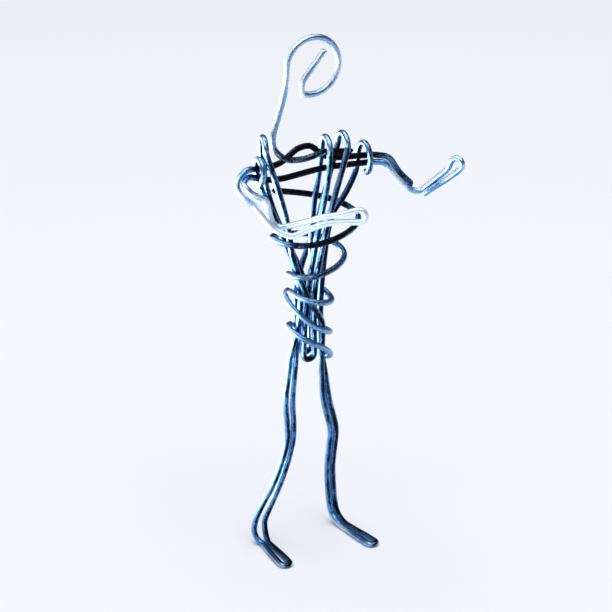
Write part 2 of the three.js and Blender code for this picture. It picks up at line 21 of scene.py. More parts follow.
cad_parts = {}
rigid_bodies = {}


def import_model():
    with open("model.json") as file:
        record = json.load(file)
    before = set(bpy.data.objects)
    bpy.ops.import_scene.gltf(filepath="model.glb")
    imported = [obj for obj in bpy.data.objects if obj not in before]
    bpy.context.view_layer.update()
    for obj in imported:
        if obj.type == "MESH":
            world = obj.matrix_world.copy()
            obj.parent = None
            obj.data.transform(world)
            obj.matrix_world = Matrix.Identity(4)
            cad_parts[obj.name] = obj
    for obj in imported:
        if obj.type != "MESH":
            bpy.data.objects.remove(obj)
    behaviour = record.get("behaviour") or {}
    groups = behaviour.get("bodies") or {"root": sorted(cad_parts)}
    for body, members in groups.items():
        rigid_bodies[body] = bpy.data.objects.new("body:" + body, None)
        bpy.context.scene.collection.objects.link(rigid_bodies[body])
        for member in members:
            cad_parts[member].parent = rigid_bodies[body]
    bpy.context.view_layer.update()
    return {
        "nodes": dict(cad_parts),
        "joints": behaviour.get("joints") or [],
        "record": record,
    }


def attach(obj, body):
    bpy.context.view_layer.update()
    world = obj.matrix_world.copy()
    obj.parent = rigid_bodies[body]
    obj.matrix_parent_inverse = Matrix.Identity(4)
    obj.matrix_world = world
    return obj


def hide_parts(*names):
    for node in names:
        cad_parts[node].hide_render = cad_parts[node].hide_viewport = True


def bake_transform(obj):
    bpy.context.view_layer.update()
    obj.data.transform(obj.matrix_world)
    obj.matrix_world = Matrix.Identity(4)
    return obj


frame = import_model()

MM = 0.001
NOISE_MIDDLE = 0.5
GOLDEN_ANGLE = math.pi * (3 - math.sqrt(5))
LOG = logging.getLogger("wire_figure")

Colour = tuple[float, float, float]
Triple = tuple[float, float, float]
Pair = tuple[float, float]


class Finish(Enum):
    """The record's material slots that the wires take their finish from."""

    STEEL = "steel_wire"
    BRIGHT = "bright_wire"
    DULL = "dull_wire"


class WireData(Enum):
    """What a wire's mesh knows at each point, for its finish to read."""

    PLACE = ("wire_place", "FLOAT_VECTOR", "vector")
    RUB = ("wire_rub", "FLOAT", "value")
    # Each node's level from the table below, partly painted highlight and painted shade, lowered into
    # painted highlight on two opposite sides of the wire and raised into painted shade between them.
    TARNISH_AND_PAINTED_LIGHT = ("wire_tarnish_and_painted_light", "FLOAT", "value")

    def __init__(self, label: str, kind: str, key: str) -> None:
        """Takes what is needed to store and read the attribute.

        Args:
            label: The attribute's name.
            kind: Its type.
            key: The key under which that type keeps a value.
        """
        self.label = label
        self.kind = kind
        self.key = key


@dataclass(frozen=True)
class WirePlan:
    """One length of wire: the frame's nodes along it, and the pieces that it is parted into.

    Attributes:
        name: What the wire makes.
        nodes: The nodes that follow each other along it.
        pieces: The names of its pieces, in the same order.
        finish: The slot that its finish comes from.
    """

    name: str
    nodes: tuple[str, ...]
    pieces: tuple[str, ...]
    finish: Finish


WIRES = (
    WirePlan(
        "legs_and_torso",
        (
            "right_side_wire", "right_thigh_outer_wire", "right_shin_outer_wire", "right_foot_wire",
            "right_shin_inner_wire", "right_thigh_inner_wire", "torso_wire", "left_thigh_inner_wire",
            "left_shin_inner_wire", "left_foot_wire", "left_shin_outer_wire", "left_thigh_outer_wire",
            "left_side_wire",
        ),
        (
            "right_side_strand", "right_knee_outer_strand", "right_foot_loop", "right_knee_inner_strand",
            "right_hip_inner_strand", "torso_strands", "left_hip_inner_strand", "left_knee_inner_strand",
            "left_foot_loop", "left_knee_outer_strand", "left_side_strand",
        ),
        Finish.STEEL,
    ),
    WirePlan(
        "arms_and_shoulders",
        (
            "left_upper_arm_outer_wire", "shoulder_upper_wire", "right_upper_arm_outer_wire",
            "right_forearm_wire", "right_upper_arm_inner_wire", "shoulder_lower_wire",
            "left_upper_arm_inner_wire", "left_forearm_wire",
        ),
        (
            "left_shoulder_upper_strand", "right_shoulder_upper_strand", "right_hand_loop",
            "right_shoulder_lower_strand", "left_shoulder_lower_strand", "left_hand_loop",
        ),
        Finish.STEEL,
    ),
    WirePlan("head_and_neck", ("head_wire", "neck_root_wire"), ("head_loop",), Finish.BRIGHT),
    WirePlan("chest_winding", ("chest_winding",), ("chest_winding_turns",), Finish.DULL),
    WirePlan("hip_winding", ("hip_winding",), ("hip_winding_turns",), Finish.DULL),
)

# Each node's level where it starts and where it ends along its wire: from white at -1 and below, through
# clean blue steel at 0, to near black at 1 and above. The white levels of the head and of the right arm are
# painted highlight, and each foot runs from lighter to darker as painted light and painted shade; the other
# entries make their nodes lighter or darker than the rest. A node not named here has PLAIN_TARNISH.
PLAIN_TARNISH = (0.43, 0.43)
TARNISH_AND_PAINTED_LIGHT = {
    # Painted highlight: the head is whitened.
    "head_wire": (-0.62, -0.4),
    "neck_root_wire": (0.4, 0.6),
    # Painted highlight: the right arm's three nodes are whitened.
    "right_forearm_wire": (-1.1, -1.1),
    "right_upper_arm_outer_wire": (-0.5, -1.2),
    "right_upper_arm_inner_wire": (-1.2, -0.4),
    "left_upper_arm_outer_wire": (0.55, -0.2),
    "left_upper_arm_inner_wire": (-0.9, -0.9),
    "left_forearm_wire": (-0.4, 0.1),
    "shoulder_upper_wire": (0.8, 0.9),
    "shoulder_lower_wire": (0.9, 0.9),
    "left_side_wire": (0.6, 0.6),
    "right_side_wire": (0.5, 0.5),
    "torso_wire": (0.48, 0.48),
    # Painted light and painted shade: each foot is lighter at one end and darker at the other.
    "right_foot_wire": (0.25, 1.2),
    "left_foot_wire": (-0.35, 1.3),
    "chest_winding": (0.7, 0.1),
    "hip_winding": (0.1, 0.1),
}


class Value:
    """A number that varies over a surface, with the arithmetic that adds Math nodes."""

    def __init__(self, shader: "Shader", socket: bpy.types.NodeSocket) -> None:
        """Wraps a socket of a shader's node."""
        self.shader = shader
        self.socket = socket

    def _math(self, operation: str, first: "Value | float", second: "Value | float") -> "Value":
        """Adds a Math node.

        Args:
            operation: The node's operation.
            first: What goes in above.
            second: What goes in below.

        Returns:
            The node's result.
        """
        made = self.shader.node("ShaderNodeMath", {"operation": operation}, {0: first, 1: second})
        return Value(self.shader, made.outputs[0])

    def __add__(self, other: "Value | float") -> "Value":
        """The sum."""
        return self._math("ADD", self, other)

    __radd__ = __add__

    def __sub__(self, other: "Value | float") -> "Value":
        """What is left of this."""
        return self._math("SUBTRACT", self, other)

    def __rsub__(self, other: float) -> "Value":
        """What is left of the other."""
        return self._math("SUBTRACT", other, self)

    def __mul__(self, other: "Value | float") -> "Value":
        """The product."""
        return self._math("MULTIPLY", self, other)

    __rmul__ = __mul__

    def eased(self, low: float, high: float) -> "Value":
        """From 0 at low to 1 at high, smoothly, and no further.

        Args:
            low: The value that gives 0.
            high: The value that gives 1.

        Returns:
            The eased value.
        """
        made = self.shader.node(
            "ShaderNodeMapRange",
            {"interpolation_type": "SMOOTHSTEP"},
            {"Value": self, "From Min": low, "From Max": high},
        )
        return Value(self.shader, made.outputs[0])


@dataclass(frozen=True)
class Grain:
    """Noise that follows a wire, and how much it does to the finish.

    Attributes:
        stretch: Factors across, across and along the wire.
        scale: Features in a millimetre.
        detail: Octaves of finer noise.
        fineness: How strong the finer octaves are.
        grime_and_painted_light: How much it adds to the level of grime and painted light, or takes from it.
        dulling: How much it adds to the roughness or takes from it.
        relief: How much it adds to the relief.
    """

    stretch: Triple
    scale: float
    detail: float
    fineness: float
    grime_and_painted_light: float = 0.0
    dulling: float = 0.0
    relief: float = 0.0


class Shader:
    """The nodes of a material or a world, and the one way in which they are added."""

    def __init__(self, owner: bpy.types.Material | bpy.types.World) -> None:
        """Starts from the surface that a new material or world has.

        Args:
            owner: The material or the world.
        """
        owner.use_nodes = True
        self.owner = owner
        self.tree = owner.node_tree
        self.surface = next(n for n in self.tree.nodes if n.type in ("BSDF_PRINCIPLED", "BACKGROUND"))

    def node(
        self, kind: str, settings: Mapping[str, Any], inputs: Mapping[int | str, Any]
    ) -> bpy.types.Node:
        """Adds a node, with its settings first and then the values or links of its sockets.

        Args:
            kind: The node's type.
            settings: Its properties by name.
            inputs: A number, a colour, a socket or a Value for each input, by name or place.

        Returns:
            The node.
        """
        made = self.tree.nodes.new(kind)
        for key, value in settings.items():
            setattr(made, key, value)
        self.feed(made, inputs)
        return made

    def feed(self, node: bpy.types.Node, inputs: Mapping[int | str, Any]) -> None:
        """Sets or links a node's inputs.

        Args:
            node: The node.
            inputs: What each input takes, by name or place.
        """
        for key, value in inputs.items():
            socket = node.inputs[key]
            source = value.socket if isinstance(value, Value) else value
            if isinstance(source, bpy.types.NodeSocket):
                self.tree.links.new(source, socket)
            elif isinstance(source, tuple) and socket.type == "RGBA":
                socket.default_value = (*source, 1.0)
            else:
                socket.default_value = source

    def _attribute(self, data: WireData) -> bpy.types.Node:
        """The node that reads one of a wire's attributes."""
        return self.node("ShaderNodeAttribute", {"attribute_name": data.label}, {})

    def level(self, data: WireData) -> Value:
        """The number that one of a wire's attributes holds."""
        return Value(self, self._attribute(data).outputs["Fac"])

    def grained(self, grain: Grain) -> Value:
        """Noise that follows the wire.

        Args:
            grain: Its size and shape.

        Returns:
            The noise, around NOISE_MIDDLE.
        """
        place = self._attribute(WireData.PLACE).outputs["Vector"]
        squeezed = self.node(
            "ShaderNodeVectorMath", {"operation": "MULTIPLY"}, {0: place, 1: grain.stretch}
        )
        made = self.node(
            "ShaderNodeTexNoise",
            {"noise_dimensions": "3D"},
            {
                "Vector": squeezed.outputs[0],
                "Scale": grain.scale,
                "Detail": grain.detail,
                "Roughness": grain.fineness,
            },
        )
        return Value(self, made.outputs[0])

    def mixed(self, low: Any, high: Any, share: Value | float, blend: str = "MIX") -> bpy.types.NodeSocket:
        """A colour between two others.

        Args:
            low: The colour at share 0.
            high: The colour at share 1.
            share: How much of the second.
            blend: The way that the second lies on the first.

        Returns:
            The colour's socket.
        """
        made = self.node(
            "ShaderNodeMix", {"data_type": "RGBA", "blend_type": blend}, {0: share, 6: low, 7: high}
        )
        return made.outputs[2]


@dataclass(frozen=True)
class WireFinish:
    """Drawn soft steel wire, from rubbed bright to blackened, with painted highlight on two opposite sides
    and painted shade between them.

    Attributes:
        slot: The record's slot.
        metal: The clean metal's colour.
        rubbed: Its colour where it is rubbed bright.
        zinc: The white of what is left of its coat, which is also the colour of painted highlight.
        soot_and_painted_shade: The colour of the dark oxide, which is also the colour of painted shade.
        rust: The oxide's colour where it turns brown.
        roughness: Of the clean metal.
        lines: The lines that drawing leaves along the wire.
        blotch: The large stains.
        speck: The small stains.
        warmth: Where the oxide turns brown.
        rub_cleans: How much the level of grime and painted light drops where the wire is rubbed.
        oxide_and_shade_levels: The level at which the dark oxide and painted shade start, and at which they
            cover.
        coat_and_highlight_levels: How far below clean the white coat and painted highlight start, and where
            they cover.
        rust_levels: The warmth at which the brown starts, and at which it covers.
        streak_levels: The lines' levels from the darkest streak to the lightest.
        streak_tones: The darkest streak's tone, and how much lighter the lightest is.
        oxide_dulling: How much rougher the oxide is.
        oxide_relief: How much the oxide stands out.
        relief: How high the relief is.
        relief_strength: How strongly it shows.
        oxide_and_shade_cover: How much of the metal's shine the dark oxide and painted shade take.
        coat_and_highlight_cover: How much of it the white coat and painted highlight take.
    """

    slot: Finish
    metal: Colour
    rubbed: Colour
    zinc: Colour = (0.72, 0.87, 0.99)
    soot_and_painted_shade: Colour = (0.002, 0.0035, 0.0075)
    rust: Colour = (0.009, 0.006, 0.005)
    roughness: float = 0.32
    lines: Grain = Grain((1.0, 1.0, 0.045), 7.0, 5.0, 0.65, grime_and_painted_light=0.9, dulling=0.14, relief=0.5)
    blotch: Grain = Grain((1.0, 1.0, 0.4), 0.7, 4.0, 0.6, grime_and_painted_light=1.5)
    speck: Grain = Grain((1.0, 1.0, 0.7), 3.4, 3.0, 0.6, grime_and_painted_light=1.6, dulling=0.16, relief=0.6)
    warmth: Grain = Grain((0.6, 0.6, 0.2), 0.35, 2.0, 0.5)
    rub_cleans: float = 0.35
    oxide_and_shade_levels: Pair = (0.15, 0.7)
    coat_and_highlight_levels: Pair = (0.28, 0.78)
    rust_levels: Pair = (0.5, 0.72)
    streak_levels: Pair = (0.25, 0.75)
    streak_tones: Pair = (0.7, 0.4)
    oxide_dulling: float = 0.16
    oxide_relief: float = 0.35
    relief: float = 0.03 * MM
    relief_strength: float = 0.7
    oxide_and_shade_cover: float = 0.08
    coat_and_highlight_cover: float = 0.5

    def material(self) -> bpy.types.Material:
        """Builds the finish.

        Returns:
            The material.
        """
        shader = Shader(bpy.data.materials.new(self.slot.value))
        rub = shader.level(WireData.RUB)
        lines = shader.grained(self.lines)
        blotch = shader.grained(self.blotch)
        speck = shader.grained(self.speck)
        mottle = (
            (blotch - NOISE_MIDDLE) * self.blotch.grime_and_painted_light
            + (speck - NOISE_MIDDLE) * self.speck.grime_and_painted_light
            + (lines - NOISE_MIDDLE) * self.lines.grime_and_painted_light
        )
        # The level holds each node's level and the painted highlight and painted shade of the wire's sides,
        # with random stains on top; it sets the dark mask of oxide and painted shade and the white mask of
        # coat and painted highlight.
        grime_and_painted_light = shader.level(WireData.TARNISH_AND_PAINTED_LIGHT) + mottle - rub * self.rub_cleans
        oxide_and_painted_shade = grime_and_painted_light.eased(*self.oxide_and_shade_levels)
        coat_and_painted_highlight = (0.0 - grime_and_painted_light).eased(*self.coat_and_highlight_levels)
        roughness = (
            oxide_and_painted_shade * self.oxide_dulling
            + (speck - NOISE_MIDDLE) * self.speck.dulling
            + (lines - NOISE_MIDDLE) * self.lines.dulling
            + self.roughness
        )
        height = lines * self.lines.relief + speck * self.speck.relief + oxide_and_painted_shade * self.oxide_relief
        bump = shader.node(
            "ShaderNodeBump",
            {},
            {"Height": height, "Distance": self.relief, "Strength": self.relief_strength},
        )
        shader.feed(
            shader.surface,
            {
                "Base Color": self._colour(shader, rub, lines, oxide_and_painted_shade, coat_and_painted_highlight),
                "Roughness": roughness,
                "Metallic": 1.0 - oxide_and_painted_shade * self.oxide_and_shade_cover - coat_and_painted_highlight * self.coat_and_highlight_cover,
                "Normal": bump.outputs[0],
            },
        )
        return shader.owner

    def _colour(
        self, shader: Shader, rub: Value, lines: Value, oxide_and_painted_shade: Value, coat_and_painted_highlight: Value
    ) -> bpy.types.NodeSocket:
        """The finish's colour.

        Args:
            shader: Where its nodes go.
            rub: How rubbed the wire is.
            lines: The drawn lines.
            oxide_and_painted_shade: How much dark oxide and painted shade cover it.
            coat_and_painted_highlight: How much of the white coat and painted highlight shows.

        Returns:
            The colour's socket.
        """
        # The white over the metal is what is left of the coat and also painted highlight.
        metal = shader.mixed(shader.mixed(self.metal, self.rubbed, rub), self.zinc, coat_and_painted_highlight)
        # The dark colour is the oxide's and also painted shade, turning brown in random places.
        scale = shader.mixed(self.soot_and_painted_shade, self.rust, shader.grained(self.warmth).eased(*self.rust_levels))
        darkest, lighter = self.streak_tones
        streak = lines.eased(*self.streak_levels) * lighter + darkest
        tone = shader.node("ShaderNodeCombineColor", {"mode": "RGB"}, {0: streak, 1: streak, 2: streak})
        return shader.mixed(shader.mixed(metal, scale, oxide_and_painted_shade), tone.outputs[0], 1.0, "MULTIPLY")


FINISHES = (
    WireFinish(Finish.STEEL, metal=(0.14, 0.37, 0.76), rubbed=(0.36, 0.63, 0.9)),
    # The head's lighter metal and rubbed colours are partly painted highlight.
    WireFinish(Finish.BRIGHT, metal=(0.25, 0.45, 0.72), rubbed=(0.6, 0.75, 0.88)),
    WireFinish(Finish.DULL, metal=(0.15, 0.36, 0.7), rubbed=(0.38, 0.6, 0.85), roughness=0.36),
)


def deselect_all() -> None:
    """Lets go of everything, because an operator acts on all that is selected."""
    bpy.ops.object.select_all(action="DESELECT")


def select_only(piece: bpy.types.Object) -> None:
    """Selects one object and makes it the active one.

    Args:
        piece: The object.
    """
    deselect_all()
    piece.select_set(True)
    bpy.context.view_layer.objects.active = piece


@dataclass(frozen=True)
class NodeLine:
    """The middle line of one of the frame's nodes, found from its rings of corners.

    Attributes:
        points: The middle of each full ring, in order.
        CORNERS: Corners in each ring of the frame's tubes.
        MERGE: Corners that lie nearer than this are one.
        FULL_RING: The share of the largest radius under which a ring belongs to a rounded end.
    """

    points: list[Vector]

    CORNERS: ClassVar[int] = 8
    MERGE: ClassVar[float] = 1e-6
    FULL_RING: ClassVar[float] = 0.92

    @classmethod
    def of(cls, node: str) -> "NodeLine":
        """Walks from one end of a node's tube to the other, ring by ring.

        Args:
            node: The node's name.

        Returns:
            Its middle line, without the rounded ends.
        """
        mesh = bmesh.new()
        mesh.from_mesh(frame["nodes"][node].data)
        bmesh.ops.remove_doubles(mesh, verts=mesh.verts, dist=cls.MERGE)
        pole = next(v for v in mesh.verts if len(v.link_edges) == cls.CORNERS)
        seen = {pole}
        layer = [pole]
        middles: list[Vector] = []
        radii: list[float] = []
        while layer:
            middle = sum((v.co for v in layer), Vector()) / len(layer)
            middles.append(middle)
            radii.append(sum((v.co - middle).length for v in layer) / len(layer))
            ahead = {e.other_vert(v) for v in layer for e in v.link_edges} - seen
            seen |= ahead
            layer = sorted(ahead, key=lambda v: v.index)
        mesh.free()
        full = cls.FULL_RING * max(radii)
        return cls([p for p, r in zip(middles, radii) if r > full])


@dataclass(frozen=True)
class Cut:
    """A stretch of a wire that makes one piece.

    Attributes:
        first: Its first ring.
        last: Its last ring.
        nodes: The frame's nodes that it stands for.
        joints: The joints that it crosses, one name however often.
    """

    first: int
    last: int
    nodes: tuple[str, ...]
    joints: tuple[str, ...]


@dataclass
class Wire:
    """One length of wire, from its middle line to its finished pieces.

    Attributes:
        plan: Its nodes and pieces.
        diameter: Its thickness.
        corners: Corners round its section.
        step: From ring to ring.
        curve_steps: Short steps from one of the frame's rings to the next.
        wander: How far wire bent by hand strays from a fair line.
        wander_length: The length over which it strays and comes back.
        wander_seed: Which of the possible ways it strays.
        nip: The length of the flats that the cutters leave at an end.
        nip_width: The share of the diameter that is left at the very end.
        nip_turn: The angle round the wire at which the cutters close.
        nick_spacing: From one nick to the next, on average.
        nick_depth: The deepest nick.
        nick_least: The shallowest nick's share of that.
        nick_half: Half the length of the shortest nick and of the longest, in millimetres.
        fewest_rings: The fewest rings over which a nick eases out, or the flats of an end.
        smooth_angle: Edges sharper than this stay sharp.
        pattern_shift: From one wire's pattern to the next one's, in millimetres.
        bow_reach: How far along the wire its bends are measured.
        rub_gain: How much a bend's outer side is rubbed.
        level_reach: How far the level of a node shades into the next one's.
        painted_highlight_side: The direction of the two opposite sides of each wire that are painted lighter
            as highlight.
        painted_highlight_share: How much lower the level is on those sides, which paints them lighter as
            highlight.
        painted_shade_share: How much higher it is between them, which paints the wire darker there as shade.
        long_node: A node longer than this is parted near both its ends.
        end_reach: How far from its bend such a node is parted.
        bend_half: Half the length over which a bend turns.
        ways_tried: Directions tried for parting a bend.
        straight_on: How much worse the wire's own direction may be and still be taken.
        path: The middle of each ring.
        spans: Each node's first and last ring.
        rings: The corners of each ring.
        whole: The wire's mesh, until it is parted.
    """

    plan: WirePlan
    diameter: float = 1.26 * MM
    corners: int = 24
    step: float = 0.25 * MM
    curve_steps: int = 24
    wander: float = 0.035 * MM
    wander_length: float = 6 * MM
    wander_seed: int = 7
    nip: float = 0.55 * MM
    nip_width: float = 0.34
    nip_turn: float = 0.9
    nick_spacing: float = 9 * MM
    nick_depth: float = 0.07 * MM
    nick_least: float = 0.35
    nick_half: Pair = (0.25, 0.6)
    fewest_rings: int = 2
    smooth_angle: float = math.radians(50)
    pattern_shift: float = 100
    bow_reach: float = 1.2 * MM
    rub_gain: float = 3.5
    level_reach: float = 5 * MM
    # Painted highlight and painted shade: on the two sides of each wire that face along this direction the
    # level is lowered, which paints them lighter, and between them it is raised, which paints the wire
    # darker.
    painted_highlight_side: Triple = (-0.95, 0.13, 0.28)
    painted_highlight_share: float = 0.95
    painted_shade_share: float = 0.3
    long_node: float = 60 * MM
    end_reach: float = 7 * MM
    bend_half: float = 1.7 * MM
    ways_tried: int = 1500
    straight_on: float = 0.1
    path: np.ndarray = field(init=False)
    spans: list[tuple[int, int]] = field(init=False)
    rings: np.ndarray = field(init=False)
    whole: bpy.types.Object = field(init=False)

    def __post_init__(self) -> None:
        """Traces the wire through its nodes."""
        lines = [NodeLine.of(node).points for node in self.plan.nodes]
        self._orient(lines)
        knots = np.array([p for line in lines for p in line])
        owner = np.repeat(np.arange(len(lines)), [len(line) for line in lines])
        self.path, self.spans = self._even(*self._curve(knots, owner))
        self._stray()

    @staticmethod
    def _orient(lines: list[list[Vector]]) -> None:
        """Turns each node's line round, if need be, so that it starts where the one before it ends.

        Args:
            lines: The nodes' lines, changed in place.
        """
        if len(lines) > 1:
            first, second = lines[0], lines[1]
            near = [min((end - p).length for p in (second[0], second[-1])) for end in (first[0], first[-1])]
            if near[0] < near[1]:
                first.reverse()
        for before, line in zip(lines, lines[1:]):
            if (line[-1] - before[-1]).length < (line[0] - before[-1]).length:
                line.reverse()

    @staticmethod
    def _between(a: np.ndarray, b: np.ndarray, start: float, end: float, at: np.ndarray) -> np.ndarray:
        """Straight from a at start to b at end.

        Args:
            a: A point, or one for each place.
            b: Another, in the same way.
            start: Where the first is.
            end: Where the second is.
            at: The places.

        Returns:
            A point for each place.
        """
        return a * (end - at) / (end - start) + b * (at - start) / (end - start)

    def _curve(self, knots: np.ndarray, owner: np.ndarray) -> tuple[np.ndarray, np.ndarray]:
        """A smooth curve through points.

        Args:
            knots: The points.
            owner: The place in the wire of the node that each point is on.

        Returns:
            The curve's points, and the node that each is on, which changes halfway across a gap.
        """
        padded = np.vstack([2 * knots[0] - knots[1], knots, 2 * knots[-1] - knots[-2]])
        share = np.linspace(0, 1, self.curve_steps, endpoint=False)[:, None]
        rows = []
        owners = []
        for i in range(len(knots) - 1):
            p = padded[i:i + 4]
            gaps = np.sqrt(np.linalg.norm(np.diff(p, axis=0), axis=1))
            t = np.concatenate([[0], np.cumsum(gaps)])
            at = t[1] + share * (t[2] - t[1])
            first = self._between(p[0], p[1], t[0], t[1], at)
            second = self._between(p[1], p[2], t[1], t[2], at)
            third = self._between(p[2], p[3], t[2], t[3], at)
            early = self._between(first, second, t[0], t[2], at)
            late = self._between(second, third, t[1], t[3], at)
            rows.append(self._between(early, late, t[1], t[2], at))
            owners.append(np.where(share[:, 0] < 0.5, owner[i], owner[i + 1]))
        return np.vstack([*rows, knots[-1:]]), np.concatenate([*owners, owner[-1:]])

    def _even(self, fine: np.ndarray, owner: np.ndarray) -> tuple[np.ndarray, list[tuple[int, int]]]:
        """Spaces a curve's points evenly.

        Args:
            fine: The curve's points.
            owner: The place in the wire of the node that each is on.

        Returns:
            The even points, and each node's first and last one.
        """
        along = np.concatenate([[0], np.cumsum(np.linalg.norm(np.diff(fine, axis=0), axis=1))])
        even = np.linspace(0, along[-1], round(along[-1] / self.step) + 1)
        path = np.column_stack([np.interp(even, along, fine[:, k]) for k in range(3)])
        on = owner[np.searchsorted(along, even).clip(0, len(owner) - 1)]
        found = [np.flatnonzero(on == k) for k in range(len(self.plan.nodes))]
        return path, [(int(places[0]), int(places[-1])) for places in found]

    def _stray(self) -> None:
        """Lets the line wander a little, as wire that was straightened by hand does."""
        noise.seed_set(self.wander_seed)
        for i, p in enumerate(self.path):
            drift = noise.noise_vector(Vector(p) / self.wander_length)
            self.path[i] += np.array(drift) * self.wander

    def build(self) -> None:
        """Makes the wire's mesh, with its nicks and its snipped ends."""
        self.whole = self._tube()
        mesh = self.whole.data
        corners = np.zeros(len(mesh.vertices) * 3)
        mesh.vertices.foreach_get("co", corners)
        self.rings = corners.reshape(len(self.path), -1, 3)
        self._nick()
        self._snip(0, 1)
        self._snip(len(self.path) - 1, -1)
        self.rings[:, :, 2] = np.maximum(self.rings[:, :, 2], 0)
        mesh.vertices.foreach_set("co", self.rings.ravel())
        LOG.info("%s: %d rings of %d corners", self.plan.name, *self.rings.shape[:2])

    def _tube(self) -> bpy.types.Object:
        """The whole wire as one mesh, swept round its line.

        Returns:
            The mesh object, with rings of corners in order.
        """
        deselect_all()
        bpy.ops.curve.primitive_nurbs_path_add(location=(0, 0, 0))
        swept = bpy.context.object
        swept.name = self.plan.name
        curve = swept.data
        curve.splines.clear()
        spline = curve.splines.new("POLY")
        spline.points.add(len(self.path) - 1)
        for point, place in zip(spline.points, self.path):
            point.co = (*place, 1.0)
        curve.twist_mode = "MINIMUM"
        curve.bevel_depth = self.diameter / 2
        curve.bevel_resolution = self.corners // 2 - 2
        bpy.ops.object.convert(target="MESH")
        return bpy.context.object

    def _nick(self) -> None:
        """Presses small flats into the wire, where pliers held it."""
        draw = random.Random(self.plan.name)
        for _ in range(int(len(self.path) * self.step / self.nick_spacing)):
            middle = draw.randrange(len(self.path))
            side = draw.random() * 2 * math.pi
            depth = self.nick_depth * (self.nick_least + (1 - self.nick_least) * draw.random())
            half = max(self.fewest_rings, round(draw.uniform(*self.nick_half) * MM / self.step))
            for i in range(max(middle - half, 0), min(middle + half + 1, len(self.path))):
                offsets = self.rings[i] - self.path[i]
                pressed = self._facing(offsets, side)
                ease = math.sqrt(math.cos((i - middle) / (half + 1) * math.pi / 2))
                level = self.diameter / 2 - depth * ease
                over = np.maximum(offsets @ pressed - level, 0)
                self.rings[i] -= np.outer(over, pressed)

    @staticmethod
    def _facing(offsets: np.ndarray, side: float) -> np.ndarray:
        """The direction square to the wire at an angle round one of its rings.

        Args:
            offsets: The ring's corners from its middle.
            side: The angle.

        Returns:
            The unit direction.
        """
        quarter = len(offsets) // 4
        across = offsets[0] * math.cos(side) + offsets[quarter] * math.sin(side)
        return across / np.linalg.norm(across)

    def _snip(self, end: int, inward: int) -> None:
        """Pinches an end into the blunt wedge that side cutters leave.

        Args:
            end: The end's ring.
            inward: The step from it along the wire.
        """
        pinched = self._facing(self.rings[end] - self.path[end], self.nip_turn)
        length = max(self.fewest_rings, round(self.nip / self.step))
        for k in range(length):
            i = end + inward * k
            keep = self.nip_width + (1 - self.nip_width) * math.sin(k / length * math.pi / 2)
            offsets = self.rings[i] - self.path[i]
            self.rings[i] -= np.outer(offsets @ pinched, pinched) * (1 - keep)

    def dress(self, material: bpy.types.Material) -> None:
        """Gives the wire its finish, and stores what the finish reads.

        Args:
            material: The finish.
        """
        normals = (self.rings - self.path[:, None]) / (self.diameter / 2)
        self._store(WireData.PLACE, self._places())
        self._store(WireData.RUB, self._rub(normals))
        self._store(WireData.TARNISH_AND_PAINTED_LIGHT, self._tarnish_and_painted_light(normals))
        mesh = self.whole.data
        mesh.materials.clear()
        mesh.materials.append(material)

    def _store(self, data: WireData, values: np.ndarray) -> None:
        """Writes one attribute.

        Args:
            data: The attribute.
            values: A value for each corner of each ring.
        """
        layer = self.whole.data.attributes.new(data.label, data.kind, "POINT")
        layer.data.foreach_set(data.key, values.ravel().astype(np.float32))

    def _places(self) -> np.ndarray:
        """Where each corner is on the wire.

        Returns:
            Places in millimetres across, across and along it.
        """
        count, corners = self.rings.shape[:2]
        turn = np.arange(corners) / corners * 2 * math.pi
        radius = self.diameter / 2 / MM
        shift = self.pattern_shift * WIRES.index(self.plan)
        places = np.zeros(self.rings.shape)
        places[:, :, 0] = radius * np.cos(turn)
        places[:, :, 1] = radius * np.sin(turn)
        places[:, :, 2] = (np.arange(count) * self.step / MM)[:, None] + shift
        return places

    def _rub(self, normals: np.ndarray) -> np.ndarray:
        """How rubbed each corner is: most on the outer side of a bend.

        Args:
            normals: The corners' directions from the middle of the wire.

        Returns:
            From 0 to 1.
        """
        count = len(self.path)
        reach = round(self.bow_reach / self.step)
        ahead = self.path[np.minimum(np.arange(count) + reach, count - 1)]
        behind = self.path[np.maximum(np.arange(count) - reach, 0)]
        bow = (self.path - (ahead + behind) / 2) / self.diameter
        return np.clip((normals * bow[:, None]).sum(2) * self.rub_gain, 0, 1)

    def _tarnish_and_painted_light(self, normals: np.ndarray) -> np.ndarray:
        """Each corner's level: its node's, lowered on two opposite sides of the wire into painted highlight
        and raised between them into painted shade.

        Args:
            normals: The corners' directions from the middle of the wire.

        Returns:
            Levels on the scale of the table of node levels.
        """
        lengths = [last - first + 1 for first, last in self.spans]
        ends = [TARNISH_AND_PAINTED_LIGHT.get(node, PLAIN_TARNISH) for node in self.plan.nodes]
        levels = np.concatenate([np.linspace(*pair, length) for pair, length in zip(ends, lengths)])
        reach = round(self.level_reach / self.step)
        window = np.ones(2 * reach + 1) / (2 * reach + 1)
        shaded = np.convolve(np.pad(levels, reach, mode="edge"), window, mode="valid")
        # Painted highlight on the two sides that face along the set direction, painted shade between them.
        painted_highlight_facing = (normals @ np.array(self.painted_highlight_side)) ** 2
        return shaded[:, None] - painted_highlight_facing * self.painted_highlight_share + (1 - painted_highlight_facing) * self.painted_shade_share

